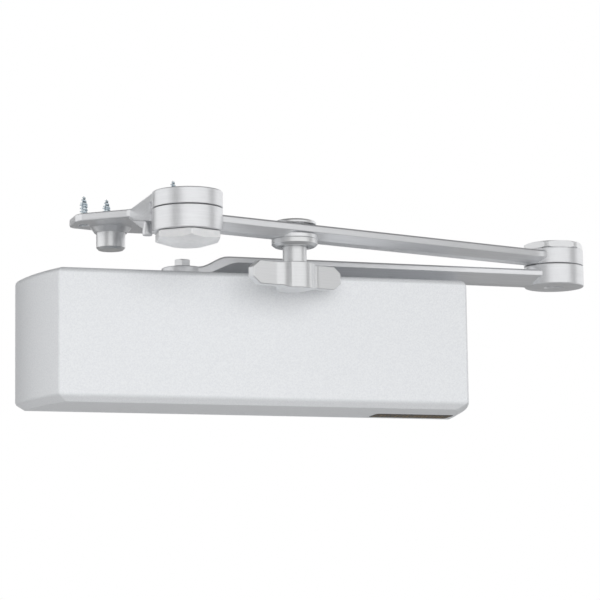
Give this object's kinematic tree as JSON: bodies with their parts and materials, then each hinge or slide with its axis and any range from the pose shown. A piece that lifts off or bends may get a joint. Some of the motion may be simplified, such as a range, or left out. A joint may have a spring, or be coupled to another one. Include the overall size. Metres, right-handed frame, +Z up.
{
  "type": "surface door closer",
  "caption": "Surface-mounted hydraulic door closer with slim cover, parallel folding arm, thumb-turn hold-open and frame shoe with stop post.",
  "frame": {"origin": "centre of the four door bolt holes, on the closer's back face", "axes": "+X along the closer towards the spring end, +Y into the door, +Z up"},
  "size_m": [0.3993, 0.1487, 0.1448],
  "materials": {
    "painted_cover": "moulded plastic with fine satin silver paint",
    "painted_arm": "silver-painted forged steel",
    "satin_steel": "satin turned steel",
    "zinc_screw": "bright zinc plating",
    "label_film": "black label film with a plain gold border",
    "cast_iron": "as-cast iron with grey primer",
    "machined_steel": "machined steel",
    "spring_steel": "oiled spring steel",
    "brass": "turned brass",
    "bronze_bush": "oiled sintered bronze",
    "rubber": "black nitrile rubber"
  },
  "bodies": {
    "closer_body": {"cover": "painted_cover", "cover_screws": "zinc_screw", "cover_label": "label_film", "body_casting": "cast_iron", "spring_end_cap": "machined_steel", "valve_end_cap": "machined_steel", "end_cap_rings": "rubber", "upper_bearing": "machined_steel", "upper_shaft_seal": "rubber", "upper_seal_nut": "machined_steel", "lower_bearing": "machined_steel", "lower_shaft_seal": "rubber", "lower_shaft_cap": "machined_steel", "outer_spring": "spring_steel", "inner_spring": "spring_steel", "valve_rings": "rubber"},
    "piston": {"piston": "machined_steel", "check_ball": "machined_steel", "check_ball_retainer": "machined_steel"},
    "spring_plug": {"spring_plug": "machined_steel"},
    "power_screw": {"power_screw": "machined_steel"},
    "sweep_valve": {"sweep_valve": "brass"},
    "latch_valve": {"latch_valve": "brass"},
    "backcheck_valve": {"backcheck_valve": "brass"},
    "main_arm": {"pinion_shaft": "machined_steel", "main_arm": "painted_arm", "arm_washer": "satin_steel", "arm_screw": "satin_steel", "elbow_bolt": "satin_steel", "elbow_washer": "machined_steel"},
    "forearm": {"forearm": "painted_arm", "elbow_bush": "bronze_bush", "shoe_bush": "bronze_bush", "handle_bush": "bronze_bush", "handle_spring_washer": "satin_steel"},
    "hold_open_handle": {"handle_wing": "satin_steel", "handle_stem": "satin_steel", "handle_collar": "satin_steel", "handle_retainer": "satin_steel"},
    "frame_shoe": {"shoe_bracket": "painted_arm", "stop_post": "satin_steel", "shoe_screws": "zinc_screw", "shoe_long_screws": "zinc_screw", "shoe_pivot_stud": "satin_steel", "shoe_pivot_nut": "satin_steel", "shoe_upper_washer": "machined_steel", "shoe_lower_washer": "machined_steel"}
  },
  "joints": [
    {"name": "main_arm_swing", "type": "hinge", "parent": "closer_body", "child": "main_arm", "pos_m": [-0.0483, -0.02965, 0.05], "axis": [0, 0, 1], "range_deg": [-76, 0]},
    {"name": "piston_slide", "type": "slide", "parent": "closer_body", "child": "piston", "axis": [1, 0, 0], "range_m": [-0.0001, 0.0147], "deforming": ["outer_spring", "inner_spring"]},
    {"name": "elbow_swing", "type": "hinge", "parent": "main_arm", "child": "forearm", "pos_m": [0.2221, -0.0204, 0.062], "axis": [0, 0, 1], "range_deg": [-1, 150]},
    {"name": "shoe_swing", "type": "hinge", "parent": "forearm", "child": "frame_shoe", "pos_m": [-0.0664, -0.1126, 0.075], "axis": [0, 0, 1], "range_deg": [-25, 90]},
    {"name": "hold_open_turn", "type": "hinge", "parent": "forearm", "child": "hold_open_handle", "pos_m": [0.01266, -0.08733, 0.05], "axis": [0, 0, 1], "range_deg": [-40, 0]},
    {"name": "power_screw_turn", "type": "hinge", "parent": "closer_body", "child": "power_screw", "pos_m": [0.1, -0.02965, 0], "axis": [1, 0, 0], "range_deg": [0, 2160]},
    {"name": "spring_plug_slide", "type": "slide", "parent": "closer_body", "child": "spring_plug", "axis": [-1, 0, 0], "range_m": [-0.0001, 0.0091], "deforming": ["outer_spring", "inner_spring"]},
    {"name": "sweep_valve_turn", "type": "hinge", "parent": "closer_body", "child": "sweep_valve", "pos_m": [-0.1, -0.008, 0.022], "axis": [-1, 0, 0], "range_deg": [0, 720]},
    {"name": "latch_valve_turn", "type": "hinge", "parent": "closer_body", "child": "latch_valve", "pos_m": [-0.1, -0.008, -0.022], "axis": [-1, 0, 0], "range_deg": [0, 720]},
    {"name": "backcheck_valve_turn", "type": "hinge", "parent": "closer_body", "child": "backcheck_valve", "pos_m": [-0.1, -0.048, 0.021], "axis": [-1, 0, 0], "range_deg": [0, 720]}
  ],
  "couplings": [
    {"joint": "piston_slide", "follows": "main_arm_swing", "m_per_rad": -0.011},
    {"joint": "spring_plug_slide", "follows": "power_screw_turn", "m_per_rad": 0.00023873}
  ]
}
